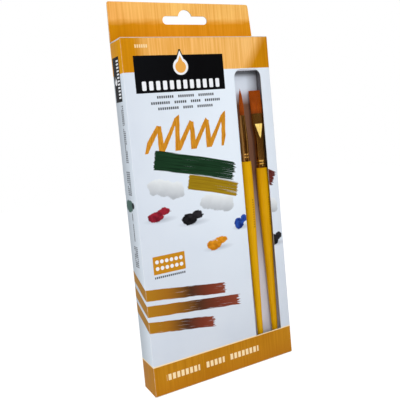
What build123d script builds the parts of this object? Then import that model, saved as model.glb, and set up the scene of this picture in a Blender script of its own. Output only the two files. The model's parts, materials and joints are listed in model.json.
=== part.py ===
from build123d import *
import os
from math import cos, pi, radians, sin, sqrt

# A gouache paint box: an upright folding carton with a hang tab and a brush window, round a formed
# tray that holds twelve paint tubes and two brushes. Millimetres, +Z up. The origin is the middle of
# the footprint, on the surface that the box stands on, and the window looks towards -Y.

# Carton
carton_width = 125.0
carton_depth = 22.0
carton_height = 263.0
card = 0.5
fold_clearance = 0.05
layer_gap = 0.1
glue_flap_width = 12.0
glue_flap_slope = 9.0

# Hang tab above the back panel
tab_rise = 30.0
tab_taper_left = 0.5
tab_taper_right = 2.2
tab_corner = 1.5
slot_width = 39.0
slot_height = 6.5
slot_bump_width = 11.8
slot_bump_height = 4.9
slot_below_tab_top = 13.4
slot_right_of_middle = 1.0

# Brush window in the front panel, from the panel's left and bottom edges
window_left = 91.0
window_width = 24.8
window_bottom = 22.4
window_height = 215.0
window_top_corner = 4.5
window_bottom_corner = 1.0

# Flaps that close both ends
lid_side_clearance = 0.3
lid_end_clearance = 0.2
lid_swing = 150.0
tuck_length = 12.0
tuck_lean = 10.0
tuck_follows_lid = 0.25
tuck_side_inset = 2.2
tuck_corner = 5.0
dust_flap_length = 18.0
dust_flap_depth = 15.0
dust_flap_setback = 1.0
dust_flap_slope = 0.42
dust_flap_corner = 1.5

# Formed tray
sheet = 0.5
tray_clearance = 0.3
tray_side_clearance = 0.4
tray_play = 2.0
tray_back_room = 3.6

# Paint tubes, which lie across the tray with their caps left and right by turns
tube_count = 12
tube_pitch = 21.0
tube_radius = 8.0
tube_wall = 0.3
crimp_length = 5.0
crimp_thickness = 1.2
tail_length = 27.0
barrel_length = 36.0
shoulder_length = 2.2
neck_radius = 3.4
neck_length = 6.0
nozzle_radius = 2.0
paint_clearance = 0.05
cap_radius = 6.75
cap_tip_radius = 6.1
cap_length = 15.3
cap_edge = 1.6
cap_wall = 0.15
cap_ribs = 18
cap_rib_radius = 0.35
cap_smooth_end = 3.0
pocket_clearance = 0.35
pocket_side = 2.6

# Brushes, which stand in a channel behind the window
channel_left = 90.5
channel_right = 119.9
channel_bottom = 6.0
channel_top = 236.5
brush_depth = 6.4
round_brush_from_left = 99.2
flat_brush_from_left = 113.8
handle_bottom = 10.0
handle_end_radius = 2.2
handle_shape = ((0.25, 0.62), (0.58, 0.82), (0.9, 0.99), (1.0, 0.93))
tenon_length = 16.0
ferrule_wall = 0.3
ferrule_fit = 0.05
ferrule_ring_step = 2.2
plug_thickness = 1.5
root_sink = 0.5

round_handle_radius = 4.5
round_handle_top = 164.2
round_ferrule_radius = 3.2
round_ferrule_mouth_radius = 2.2
round_ferrule_top = 201.5
round_bristle_top = 222.7
round_bristle_belly = 2.3
round_bristle_belly_at = 0.3
round_bristle_waist = 1.4
round_bristle_waist_at = 0.7
round_bristle_tip = 0.25
round_bristle_tip_spread = 0.25
round_bristle_tip_fall = 0.22
round_root_inset = 0.19
round_strands = 150
round_strand_fill = 0.55

flat_handle_radius = 4.9
flat_handle_top = 157.6
flat_ferrule_radius = 4.05
flat_ferrule_width = 11.6
flat_ferrule_thickness = 3.6
flat_ferrule_top = 202.0
flat_ferrule_round_to = 182.0
flat_ferrule_flat_from = 193.5
flat_bristle_top = 220.8
flat_bristle_edge = 0.9
flat_bristle_crown = 0.5
flat_bristle_swell_rise = 5.0
flat_bristle_swell = 0.75
flat_root_inset = 0.37
flat_root_share = 0.62
flat_strands_across = 28
flat_strands_deep = 8
flat_strand_fill = 0.8
flat_oval_share = 0.95

# Places worked out from the sizes
half_width = carton_width / 2
front = -carton_depth / 2
back = carton_depth / 2
half_card = card / 2
tab_top = carton_height + tab_rise
lid_level = carton_height - half_card
lid_hinge_y = front + half_card
lid_half_width = half_width - lid_side_clearance
tuck_hinge_y = back - 2 * card - lid_end_clearance - half_card
dust_level = lid_level - card - layer_gap
dust_hinge_x = half_width - half_card
base_level = half_card
base_half_width = half_width - card - lid_side_clearance
base_dust_level = base_level + card + layer_gap
base_dust_hinge_x = half_width - card - fold_clearance - half_card
tuck_half_width = half_width - tuck_side_inset
tuck_fold = radians(90 - tuck_lean - tuck_follows_lid * lid_swing)
tuck_fold_room = (half_card + fold_clearance + half_card * cos(tuck_fold)) / sin(tuck_fold)
side_top = dust_level - half_card - fold_clearance
slot_x = slot_right_of_middle
slot_z = tab_top - slot_below_tab_top
crimp_width = pi * tube_radius
tube_body_length = crimp_length + tail_length + barrel_length + shoulder_length
tray_front = front + card + tray_clearance
tray_half_width = half_width - card - tray_side_clearance
tray_bottom = base_dust_level + half_card + tray_clearance
tray_top = dust_level - half_card - tray_clearance - tray_play
tray_back = back - card - tray_back_room
tube_y = tray_front + tray_clearance + tube_radius
pocket_depth = 2 * tube_radius + 2 * tray_clearance
first_tube_z = (tray_bottom + tray_top) / 2 - tube_pitch * (tube_count - 1) / 2
tube_low_x = -half_width + pocket_side + pocket_clearance
tube_high_x = tube_low_x + tube_body_length + cap_wall + cap_length
brush_y = front + brush_depth
channel_depth = brush_y + flat_handle_radius + tray_clearance - tray_front
front_face = Plane(origin=(0, front, 0), x_dir=(1, 0, 0), z_dir=(0, -1, 0))
tray_face = Plane(origin=(0, tray_front, 0), x_dir=(1, 0, 0), z_dir=(0, -1, 0))
back_face = Plane(origin=(0, back, 0), x_dir=(1, 0, 0), z_dir=(0, -1, 0))

os.makedirs("parts", exist_ok=True)


def keep(piece, name):
    piece.part.label = name
    export_step(piece.part, "parts/" + name + ".step")


def from_left(distance):
    return distance - half_width


# Front panel, with the brush window cut out of it
with BuildPart() as front_panel:
    with BuildSketch(front_face):
        panel_bottom = card + fold_clearance
        panel_top = lid_level - half_card - fold_clearance
        with Locations((0, (panel_bottom + panel_top) / 2)):
            Rectangle(carton_width, panel_top - panel_bottom)
    extrude(amount=-card)
    with BuildSketch(front_face) as window:
        with Locations((from_left(window_left) + window_width / 2, window_bottom + window_height / 2)):
            Rectangle(window_width, window_height)
        fillet(window.vertices().group_by(Axis.Y)[-1], window_top_corner)
        fillet(window.vertices().group_by(Axis.Y)[0], window_bottom_corner)
    extrude(amount=-card, mode=Mode.SUBTRACT)
keep(front_panel, "front_panel")

# Side panels
for side, name in ((-1, "left_side_panel"), (1, "right_side_panel")):
    with BuildPart() as side_panel:
        with BuildSketch(Plane.XY):
            with Locations((side * (half_width - half_card), 0)):
                Rectangle(card, carton_depth - 2 * card)
        extrude(amount=side_top)
    keep(side_panel, name)


def euro_slot_outline():
    """Draws the hanging slot in the open sketch: a bar with round ends and a bump on top."""
    with Locations((slot_x, slot_z)):
        SlotOverall(slot_width, slot_height)
    bar_top = slot_z + slot_height / 2
    bump_left = (slot_x - slot_bump_width / 2, bar_top)
    bump_right = (slot_x + slot_bump_width / 2, bar_top)
    with BuildLine() as bump:
        ThreePointArc(bump_left, (slot_x, bar_top + slot_bump_height), bump_right)
        Polyline(bump_right, (bump_right[0], slot_z), (bump_left[0], slot_z), bump_left)
    make_face(bump.edges())


# Back panel, which runs up into the rear layer of the hang tab
with BuildPart() as back_panel:
    with BuildSketch(back_face) as sheet_outline:
        with BuildLine():
            Polyline(
                (-half_width, 0),
                (half_width, 0),
                (half_width, carton_height),
                (half_width - tab_taper_right, tab_top),
                (-half_width + tab_taper_left, tab_top),
                (-half_width, carton_height),
                close=True,
            )
        make_face()
        fillet(sheet_outline.vertices().group_by(Axis.Y)[-1], tab_corner)
    extrude(amount=card)
    with BuildSketch(back_face):
        euro_slot_outline()
    extrude(amount=card, mode=Mode.SUBTRACT)
keep(back_panel, "back_panel")

# Front layer of the hang tab, folded over at the top and glued to the back panel
with BuildPart() as hang_tab_front:
    with BuildSketch(back_face.offset(card)) as layer_outline:
        with BuildLine():
            Polyline(
                (-half_width, carton_height),
                (half_width, carton_height),
                (half_width - tab_taper_right, tab_top),
                (-half_width + tab_taper_left, tab_top),
                close=True,
            )
        make_face()
        fillet(layer_outline.vertices().group_by(Axis.Y)[-1], tab_corner)
    extrude(amount=card)
    with BuildSketch(back_face.offset(card)):
        euro_slot_outline()
    extrude(amount=card, mode=Mode.SUBTRACT)
keep(hang_tab_front, "hang_tab_front")

# Glue flap, folded in from the left side panel and glued inside the back panel
with BuildPart() as glue_flap:
    with BuildSketch(back_face.offset(card)):
        outer_x = -half_width + card
        inner_x = outer_x + glue_flap_width
        with BuildLine():
            Polyline(
                (outer_x, tuck_length),
                (inner_x, tuck_length + glue_flap_slope),
                (inner_x, carton_height - tuck_length - glue_flap_slope),
                (outer_x, carton_height - tuck_length),
                close=True,
            )
        make_face()
    extrude(amount=card)
keep(glue_flap, "glue_flap")


def lid_panel(level, panel_half_width, out):
    """A closing panel, round at its crease with the front and slanted where its tuck flap folds in."""
    with BuildPart() as panel:
        with BuildSketch(Plane.YZ.offset(-panel_half_width)):
            with BuildLine():
                Polyline(
                    (lid_hinge_y, level + out * half_card),
                    (tuck_hinge_y - half_card - fold_clearance, level + out * half_card),
                    (tuck_hinge_y - tuck_fold_room, level - out * half_card),
                    (lid_hinge_y, level - out * half_card),
                    close=True,
                )
            make_face()
            with Locations((lid_hinge_y, level)):
                Circle(half_card)
        extrude(amount=2 * panel_half_width)
    return panel


def tuck_flap(level, out):
    """A tuck flap, which leans forward inside the back panel, round at its crease with the lid."""
    lean = radians(tuck_lean)
    flap_plane = Plane(
        origin=(0, tuck_hinge_y, level), x_dir=(1, 0, 0), z_dir=(0, -cos(lean), out * sin(lean))
    )
    with BuildPart() as flap:
        with BuildSketch(flap_plane) as outline:
            with Locations((0, -out * tuck_length / 2)):
                Rectangle(2 * tuck_half_width, tuck_length)
            far_corners = outline.vertices().sort_by(Axis.Y, reverse=out < 0)[:2]
            fillet(far_corners, tuck_corner)
        extrude(amount=half_card, both=True)
        with BuildSketch(Plane.YZ.offset(-tuck_half_width)):
            with Locations((tuck_hinge_y, level)):
                Circle(half_card)
        extrude(amount=2 * tuck_half_width)
    return flap


def dust_flap(side, hinge_x, level):
    """A dust flap under the lid, tapered towards the lid's crease so that both can swing together."""
    near = lid_hinge_y + dust_flap_setback
    far = near + dust_flap_depth
    reach = hinge_x - dust_flap_length
    with BuildPart() as flap:
        with BuildSketch(Plane.XY.offset(level)) as outline:
            with BuildLine():
                Polyline(
                    (side * hinge_x, near),
                    (side * reach, near + dust_flap_slope * dust_flap_length),
                    (side * reach, far),
                    (side * hinge_x, far),
                    close=True,
                )
            make_face()
            inner_corners = outline.vertices().filter_by(lambda v: abs(v.X) < hinge_x - half_card)
            fillet(inner_corners, dust_flap_corner)
        extrude(amount=half_card, both=True)
        with BuildSketch(Plane.XZ.offset(-near)):
            with Locations((side * hinge_x, level)):
                Circle(half_card)
        extrude(amount=-dust_flap_depth)
    return flap


# Lid and its flaps
keep(lid_panel(lid_level, lid_half_width, 1), "lid")
keep(tuck_flap(lid_level, 1), "tuck_flap")
keep(dust_flap(-1, dust_hinge_x, dust_level), "dust_flap_left")
keep(dust_flap(1, dust_hinge_x, dust_level), "dust_flap_right")

# Bottom closure, let in between the panels that stand on the table
keep(lid_panel(base_level, base_half_width, -1), "bottom_lid")
keep(tuck_flap(base_level, -1), "bottom_tuck_flap")
keep(dust_flap(-1, base_dust_hinge_x, base_dust_level), "bottom_dust_flap_left")
keep(dust_flap(1, base_dust_hinge_x, base_dust_level), "bottom_dust_flap_right")


def tube_place(number):
    """The plane at a tube's tail, with its normal along the tube and its X axis up."""
    cap_side = 1 if number % 2 else -1
    tail_x = tube_low_x if cap_side > 0 else tube_high_x
    height = first_tube_z + number * tube_pitch
    return Plane(origin=(tail_x, tube_y, height), x_dir=(0, 0, 1), z_dir=(cap_side, 0, 0))


def pocket_outline(number, grow):
    """The outline of a tube's pocket on the tray's face: wide at the tail and narrow at the cap."""
    place = tube_place(number)
    along = place.z_dir.X
    margin = pocket_clearance + grow
    tail = crimp_width / 2 + margin
    body = tube_radius + margin
    tip = cap_radius + margin
    ends = tube_body_length + cap_wall + cap_length + margin
    upper = [
        (-margin, tail),
        (crimp_length + margin, tail),
        (crimp_length + tail_length, body),
        (tube_body_length + margin, body),
        (tube_body_length + margin, tip),
        (ends, tip),
    ]
    edge = upper + [(distance, -width) for distance, width in reversed(upper)]
    x0, z0 = place.origin.X, place.origin.Z
    return [(x0 + along * distance, z0 + width) for distance, width in edge]


# Formed tray: a face with a skirt round it, a pocket for each tube and a channel for the brushes.
# The room behind it takes the tuck flaps, which lean forward and keep its ends from moving back.
with BuildPart() as inner_tray:
    tray_height = tray_top - tray_bottom
    tray_middle = (tray_top + tray_bottom) / 2
    skirt_depth = tray_back - tray_front
    with BuildSketch(tray_face):
        with Locations((0, tray_middle)):
            Rectangle(2 * tray_half_width, tray_height)
    extrude(amount=-skirt_depth)
    with BuildSketch(tray_face.offset(-sheet)):
        with Locations((0, tray_middle)):
            Rectangle(2 * (tray_half_width - sheet), tray_height - 2 * sheet)
    extrude(amount=-skirt_depth, mode=Mode.SUBTRACT)
    channel_x = from_left((channel_left + channel_right) / 2)
    channel_z = (channel_bottom + channel_top) / 2
    channel_width = channel_right - channel_left
    channel_height = channel_top - channel_bottom
    with BuildSketch(tray_face):
        with Locations((channel_x, channel_z)):
            Rectangle(channel_width + 2 * sheet, channel_height + 2 * sheet)
    extrude(amount=-channel_depth - sheet)
    with BuildSketch(tray_face):
        for number in range(tube_count):
            with BuildLine():
                Polyline(*pocket_outline(number, sheet), close=True)
            make_face()
    extrude(amount=-pocket_depth - sheet)
    with BuildSketch(tray_face):
        with Locations((channel_x, channel_z)):
            Rectangle(channel_width, channel_height)
    extrude(amount=-channel_depth, mode=Mode.SUBTRACT)
    with BuildSketch(tray_face):
        for number in range(tube_count):
            with BuildLine():
                Polyline(*pocket_outline(number, 0), close=True)
            make_face()
    extrude(amount=-pocket_depth, mode=Mode.SUBTRACT)
keep(inner_tray, "inner_tray")


def tube_form(place, inset, neck):
    """The closed form of a tube less an inset all round, from the end of its crimp to its neck."""
    radius = tube_radius - inset
    tail_start = crimp_length + inset
    tail_end = crimp_length + tail_length
    barrel_end = tail_end + barrel_length - inset
    with BuildPart() as form:
        with BuildSketch(place.offset(tail_start)):
            Ellipse(crimp_width / 2 - inset, crimp_thickness / 2 - inset)
        with BuildSketch(place.offset(tail_end)):
            Circle(radius)
        loft()
        with BuildSketch(place.offset(tail_end)):
            Circle(radius)
        extrude(amount=barrel_end - tail_end)
        with BuildSketch(place.offset(barrel_end)):
            Circle(radius)
        with BuildSketch(place.offset(barrel_end + shoulder_length)):
            Circle(neck)
        loft(ruled=True)
        with BuildSketch(place.offset(barrel_end + shoulder_length)):
            Circle(neck)
        extrude(amount=tube_body_length + neck_length - barrel_end - shoulder_length)
    return form


# Paint tubes, each with its paint and its cap
for number in range(tube_count):
    place = tube_place(number)
    tag = f"{number + 1:02d}"
    hollow = tube_form(place, tube_wall, nozzle_radius)
    with BuildPart() as tube:
        add(tube_form(place, 0, neck_radius).part)
        with BuildSketch(place):
            Rectangle(crimp_width, crimp_thickness)
        extrude(amount=crimp_length)
        add(hollow.part, mode=Mode.SUBTRACT)
    keep(tube, "tube_" + tag)
    paint = tube_form(place, tube_wall + paint_clearance, nozzle_radius - paint_clearance)
    keep(paint, "paint_" + tag)

    cap_base = place.offset(tube_body_length + cap_wall)
    cap_end = cap_base.offset(cap_length)
    with BuildPart() as cap:
        with BuildSketch(cap_base):
            Circle(cap_radius)
        with BuildSketch(cap_end):
            Circle(cap_tip_radius)
        loft(ruled=True)
        tip_edge = cap.edges().filter_by(GeomType.CIRCLE).sort_by(
            Axis(cap_base.origin, cap_base.z_dir)
        )[-1]
        fillet(tip_edge, cap_edge)
        with BuildSketch(cap_base):
            Circle(neck_radius + cap_wall)
        extrude(amount=neck_length + cap_wall, mode=Mode.SUBTRACT)
        with BuildSketch(cap_base):
            with PolarLocations(cap_radius, cap_ribs):
                Circle(cap_rib_radius)
        extrude(amount=cap_length - cap_edge - cap_smooth_end, mode=Mode.SUBTRACT)
    keep(cap, "cap_" + tag)


def brush_side(x):
    """The upright plane through a brush's axis, parallel to the front."""
    return Plane(origin=(x, brush_y, 0), x_dir=(1, 0, 0), z_dir=(0, -1, 0))


def brush_handle(x, top, belly, tenon_radius):
    """A turned handle: a thin rounded tail, a belly below the ferrule and a tenon inside it."""
    length = top - handle_bottom
    stations = [(share * belly, handle_bottom + rise * length) for rise, share in handle_shape]
    with BuildPart() as handle:
        with BuildSketch(brush_side(x)):
            with BuildLine():
                belly_line = Spline((handle_end_radius, handle_bottom + handle_end_radius), *stations)
                Line(belly_line @ 1, (tenon_radius, top))
                Line((tenon_radius, top), (tenon_radius, top + tenon_length))
                Line((tenon_radius, top + tenon_length), (0, top + tenon_length))
                Line((0, top + tenon_length), (0, handle_bottom))
                RadiusArc((0, handle_bottom), belly_line @ 0, -handle_end_radius)
            make_face()
        revolve(axis=Axis((x, brush_y, 0), (0, 0, 1)))
    return handle


def strand(stations):
    """One bristle of four flat sides a stretch, through axis-parallel oblongs at rising heights."""
    rings = []
    for z, x, y, half_x, half_y in stations:
        rings.append(
            [
                Vector(x - half_x, y - half_y, z),
                Vector(x + half_x, y - half_y, z),
                Vector(x + half_x, y + half_y, z),
                Vector(x - half_x, y + half_y, z),
            ]
        )
    faces = [Face(Wire.make_polygon(rings[0])), Face(Wire.make_polygon(rings[-1]))]
    for low, high in zip(rings, rings[1:]):
        for i in range(4):
            j = (i + 1) % 4
            faces.append(Face(Wire.make_polygon([low[i], low[j], high[j], high[i]])))
    return Solid(Shell(faces))


# Round brush
round_x = from_left(round_brush_from_left)
round_bore = round_ferrule_radius - ferrule_wall
keep(
    brush_handle(round_x, round_handle_top, round_handle_radius, round_bore - ferrule_fit),
    "round_brush_handle",
)
with BuildPart() as round_ferrule:
    with BuildSketch(brush_side(round_x)):
        groove = round_ferrule_radius - ferrule_wall / 2
        base = round_handle_top + fold_clearance
        taper_from = round_handle_top + tenon_length + ferrule_ring_step
        with BuildLine():
            Polyline(
                (round_bore, base),
                (round_ferrule_radius, base),
                (round_ferrule_radius, base + ferrule_ring_step),
                (groove, base + 1.5 * ferrule_ring_step),
                (round_ferrule_radius, base + 2 * ferrule_ring_step),
                (groove, base + 2.5 * ferrule_ring_step),
                (round_ferrule_radius, base + 3 * ferrule_ring_step),
                (round_ferrule_radius, taper_from),
                (round_ferrule_mouth_radius, round_ferrule_top),
                (round_ferrule_mouth_radius - ferrule_wall, round_ferrule_top),
                (round_bore, taper_from),
                close=True,
            )
        make_face()
    revolve(axis=Axis((round_x, brush_y, 0), (0, 0, 1)))
keep(round_ferrule, "round_brush_ferrule")

with BuildPart() as round_bristles:
    root_radius = round_ferrule_mouth_radius - ferrule_wall - ferrule_fit
    golden_turn = pi * (3 - sqrt(5))
    spread = root_radius - round_root_inset
    half_strand = round_strand_fill * spread / sqrt(round_strands)
    plug_bottom = round_ferrule_top - plug_thickness
    hair_length = round_bristle_top - round_ferrule_top
    with BuildSketch(Plane.XY.offset(plug_bottom)):
        with Locations((round_x, brush_y)):
            Circle(root_radius)
    extrude(amount=plug_thickness)
    strands = []
    for k in range(round_strands):
        share = sqrt((k + 0.5) / round_strands)
        dx = share * spread * cos(k * golden_turn)
        dy = share * spread * sin(k * golden_turn)
        tip_height = round_bristle_top - round_bristle_tip_fall * hair_length * share * share
        stations = []
        for z, scale in (
            (round_ferrule_top - root_sink, 1.0),
            (round_ferrule_top + round_bristle_belly_at * hair_length, round_bristle_belly / root_radius),
            (round_ferrule_top + round_bristle_waist_at * hair_length, round_bristle_waist / root_radius),
            (tip_height, round_bristle_tip / root_radius + round_bristle_tip_spread * share),
        ):
            half = scale * half_strand
            stations.append((z, round_x + scale * dx, brush_y + scale * dy, half, half))
        strands.append(strand(stations))
    add(strands)
keep(round_bristles, "round_brush_bristles")

# Flat brush
flat_x = from_left(flat_brush_from_left)
flat_bore = flat_ferrule_radius - ferrule_wall
keep(
    brush_handle(flat_x, flat_handle_top, flat_handle_radius, flat_bore - ferrule_fit),
    "flat_brush_handle",
)


def flat_ferrule_form(inset):
    """A round tube pressed flat towards its mouth, less an inset all round."""
    radius = flat_ferrule_radius - inset
    half_long = flat_ferrule_width / 2 - inset
    half_short = flat_ferrule_thickness / 2 - inset
    base = flat_handle_top + fold_clearance
    with BuildPart() as form:
        with BuildSketch(Plane.XY.offset(base)):
            with Locations((flat_x, brush_y)):
                Circle(radius)
        extrude(amount=flat_ferrule_round_to - base)
        with BuildSketch(Plane.XY.offset(flat_ferrule_round_to)):
            with Locations((flat_x, brush_y)):
                Ellipse(radius, radius)
        with BuildSketch(Plane.XY.offset(flat_ferrule_flat_from)):
            with Locations((flat_x, brush_y)):
                Ellipse(half_long, half_short)
        loft(ruled=True)
        with BuildSketch(Plane.XY.offset(flat_ferrule_flat_from)):
            with Locations((flat_x, brush_y)):
                Ellipse(half_long, half_short)
        extrude(amount=flat_ferrule_top - flat_ferrule_flat_from)
    return form


with BuildPart() as flat_ferrule:
    add(flat_ferrule_form(0).part)
    add(flat_ferrule_form(ferrule_wall).part, mode=Mode.SUBTRACT)
keep(flat_ferrule, "flat_brush_ferrule")

with BuildPart() as flat_bristles:
    root_long = flat_ferrule_width / 2 - ferrule_wall - ferrule_fit
    root_short = flat_ferrule_thickness / 2 - ferrule_wall - ferrule_fit
    with BuildSketch(Plane.XY.offset(flat_ferrule_top - plug_thickness)):
        with Locations((flat_x, brush_y)):
            Ellipse(root_long, root_short)
    extrude(amount=plug_thickness)
    strands = []
    for i in range(flat_strands_across):
        for j in range(flat_strands_deep):
            across = (2 * i + 1) / flat_strands_across - 1
            deep = (2 * j + 1) / flat_strands_deep - 1
            reach = (root_long - flat_root_inset) * sqrt(1 - (deep * flat_oval_share) ** 2)
            stations = []
            for z, half_long, half_short in (
                (flat_ferrule_top - root_sink, reach, flat_root_share * root_short),
                (flat_ferrule_top + flat_bristle_swell_rise, reach, flat_bristle_swell * root_short),
                (flat_bristle_top - flat_bristle_crown * deep * deep, root_long, flat_bristle_edge / 2),
            ):
                half_x = flat_strand_fill * half_long / flat_strands_across
                half_y = flat_strand_fill * half_short / flat_strands_deep
                x = flat_x + across * half_long
                y = brush_y + deep * half_short
                stations.append((z, x, y, half_x, half_y))
            strands.append(strand(stations))
    add(strands)
keep(flat_bristles, "flat_brush_bristles")
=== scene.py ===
import json
from math import cos, hypot, pi, radians, sin, sqrt

import bmesh
import bpy
from mathutils import Matrix, Vector


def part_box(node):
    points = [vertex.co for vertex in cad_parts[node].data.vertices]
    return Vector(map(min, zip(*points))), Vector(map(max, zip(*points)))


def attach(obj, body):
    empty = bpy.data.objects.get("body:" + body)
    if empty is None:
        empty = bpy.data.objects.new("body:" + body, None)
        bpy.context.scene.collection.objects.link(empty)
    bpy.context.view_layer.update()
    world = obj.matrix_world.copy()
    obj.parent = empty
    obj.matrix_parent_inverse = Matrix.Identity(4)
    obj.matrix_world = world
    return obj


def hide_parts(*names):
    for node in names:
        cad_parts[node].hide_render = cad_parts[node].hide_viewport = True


# Looks of a gouache paint box: a printed folding carton with a hang tab and a brush window, its formed
# tray, twelve paint tubes and two brushes. Lengths are millimetres unless a line says metres.

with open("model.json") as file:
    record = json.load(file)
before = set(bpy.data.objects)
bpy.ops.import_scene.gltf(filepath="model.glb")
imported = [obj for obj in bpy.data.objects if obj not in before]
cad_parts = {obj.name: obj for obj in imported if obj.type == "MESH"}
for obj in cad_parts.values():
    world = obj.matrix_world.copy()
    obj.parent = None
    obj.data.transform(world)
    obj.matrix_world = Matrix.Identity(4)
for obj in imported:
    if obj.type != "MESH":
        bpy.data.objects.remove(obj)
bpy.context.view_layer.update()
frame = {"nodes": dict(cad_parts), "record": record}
nodes = frame["nodes"]
MM = 0.001


def corners(node):
    """A node's lowest and highest corner in millimetres."""
    low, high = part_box(node)
    return [value / MM for value in low], [value / MM for value in high]


def upright_axis(node):
    """Where the upright axis of a round node stands."""
    low, high = corners(node)
    return (low[0] + high[0]) / 2, (low[1] + high[1]) / 2


# Sizes taken from the solid model
front_low, front_high = corners("front_panel")
tab_low, tab_high = corners("hang_tab_front")
side_top = corners("left_side_panel")[1][2]
half_width = (front_high[0] - front_low[0]) / 2
half_depth = (corners("back_panel")[1][1] - front_low[1]) / 2
width = 2 * half_width
depth = 2 * half_depth
card = front_high[1] - front_low[1]
carton_top = tab_low[2]
tab_top = tab_high[2]

# Sizes of the dressed carton
fold_radius = 0.5
window_left, window_right = 28.5, 53.3
window_low, window_high = 22.4, 237.4
window_top_corner = 6.5
window_foot_corner = 1.0
tab_left_taper, tab_right_taper = 0.5, 2.2
tab_corner = 1.5
tab_edge_round = 0.3
slot_middle = (1.0, tab_top - 13.4)
slot_size = (39.0, 6.5)
slot_bump_half, slot_bump_rise = 5.9, 4.9
print_skin = 0.1

# How far a cutter reaches past the card, and how long the round one is
overshoot = 2.0
bump_cutter_length = 6.0

# Camera, from the photograph: focal length and optical centre in pixels of its 400 by 400 frame
image_size = 400
focal_pixels = 518.68
centre_column = 192.37
centre_row = 166.78
sensor_width = 36.0
camera_place = (-189.74, -359.07, 196.34)
camera_forward = (0.447, 0.89119, -0.07719)
camera_up = (0.11742, 0.02709, 0.99271)


# Modelling by hand

def nothing_selected():
    bpy.ops.object.select_all(action="DESELECT")


def take(piece):
    """Makes the piece the only selected object and the active one."""
    nothing_selected()
    piece.select_set(True)
    bpy.context.view_layer.objects.active = piece


def settle(piece):
    """Puts the piece's place, turn and scale into its mesh."""
    take(piece)
    bpy.ops.object.transform_apply(location=True, rotation=True, scale=True)


def apply_modifiers(piece):
    take(piece)
    for modifier in list(piece.modifiers):
        bpy.ops.object.modifier_apply(modifier=modifier.name)


def block(name, low, high):
    """A box between two corners."""
    nothing_selected()
    middle = [(a + b) / 2 * MM for a, b in zip(low, high)]
    bpy.ops.mesh.primitive_cube_add(size=1, location=middle)
    piece = bpy.context.object
    piece.name = name
    piece.scale = [(b - a) * MM for a, b in zip(low, high)]
    settle(piece)
    return piece


def open_edit(piece):
    take(piece)
    bpy.ops.object.mode_set(mode="EDIT")


def close_edit():
    bpy.ops.object.mode_set(mode="OBJECT")


def select_parts(piece, kind, chosen):
    """In edit mode, selects only the faces or edges whose middle, in millimetres, passes the test."""
    bpy.ops.mesh.select_mode(type=kind)
    bpy.ops.mesh.select_all(action="DESELECT")
    mesh = bmesh.from_edit_mesh(piece.data)
    mesh.normal_update()
    for part in mesh.faces if kind == "FACE" else mesh.edges:
        middle = sum((vertex.co for vertex in part.verts), Vector()) / len(part.verts) / MM
        if chosen(part, middle):
            part.select_set(True)
    bmesh.update_edit_mesh(piece.data)


def runs_along(edge, axis):
    """Whether an edge is parallel to axis 0, 1 or 2."""
    run = edge.verts[1].co - edge.verts[0].co
    return run.length > 0 and abs(run[axis]) > 0.999 * run.length


def round_edges(piece, chosen, radius, segments):
    """In edit mode, rounds the edges that pass the test."""
    select_parts(piece, "EDGE", chosen)
    bpy.ops.mesh.bevel(offset=radius * MM, segments=segments, affect="EDGES")


def facing_out():
    """In edit mode, turns every face outwards."""
    bpy.ops.mesh.select_all(action="SELECT")
    bpy.ops.mesh.normals_make_consistent(inside=False)


def cut_away(piece, *cutters):
    """Cuts each cutter out of the piece and deletes it."""
    for cutter in cutters:
        cut = piece.modifiers.new("cut", "BOOLEAN")
        cut.operation = "DIFFERENCE"
        cut.solver = "EXACT"
        cut.object = cutter
    apply_modifiers(piece)
    for cutter in cutters:
        bpy.data.objects.remove(cutter)


def shade(piece, angle):
    """Smooth shading, broken where faces meet at more than an angle in degrees."""
    take(piece)
    bpy.ops.object.shade_smooth_by_angle(angle=radians(angle))


def drawn_out(name, centre, stations, sides):
    """A closed round form drawn up ring by ring: each station is a height and a radius."""
    nothing_selected()
    height, radius = stations[0]
    place = (centre[0] * MM, centre[1] * MM, height * MM)
    bpy.ops.mesh.primitive_circle_add(
        vertices=sides, radius=radius * MM, fill_type="NGON", location=place
    )
    piece = bpy.context.object
    piece.name = name
    settle(piece)
    open_edit(piece)
    bpy.ops.mesh.select_all(action="SELECT")
    for height, next_radius in stations[1:]:
        rise = height * MM - place[2]
        bpy.ops.mesh.extrude_region_move(TRANSFORM_OT_translate={"value": (0, 0, rise)})
        place = (place[0], place[1], height * MM)
        growth = next_radius / radius
        bpy.ops.transform.resize(value=(growth, growth, 1), center_override=place)
        radius = next_radius
    facing_out()
    close_edit()
    return piece


# Materials, worked out from each point's place on the object in millimetres

def rgb(red, green, blue):
    """The linear colour of an sRGB swatch with values up to 255."""
    shares = [value / 255 for value in (red, green, blue)]
    return tuple(s / 12.92 if s < 0.04 else ((s + 0.055) / 1.055) ** 2.4 for s in shares) + (1.0,)


class Amount:
    """A number that changes over a surface. Sums, products and so on become Math nodes."""

    def __init__(self, graph, socket):
        self.graph = graph
        self.socket = socket

    def __add__(self, other):
        return self.graph.math("ADD", self, other)

    def __sub__(self, other):
        return self.graph.math("SUBTRACT", self, other)

    def __rsub__(self, other):
        return self.graph.math("SUBTRACT", other, self)

    def __mul__(self, other):
        return self.graph.math("MULTIPLY", self, other)

    def __truediv__(self, other):
        return self.graph.math("DIVIDE", self, other)

    def __abs__(self):
        return self.graph.math("ABSOLUTE", self)

    def __mod__(self, other):
        return self.graph.math("FLOORED_MODULO", self, other)

    __radd__ = __add__
    __rmul__ = __mul__

    def at_least(self, other):
        return self.graph.math("MAXIMUM", self, other)

    def at_most(self, other):
        return self.graph.math("MINIMUM", self, other)

    def root(self):
        return self.graph.math("SQRT", self)

    def share(self, low, high):
        """0 at low and below, 1 at high and above, and even in between."""
        span = high - low
        return self.graph.clamped(self, 1 / span, -low / span)


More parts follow.
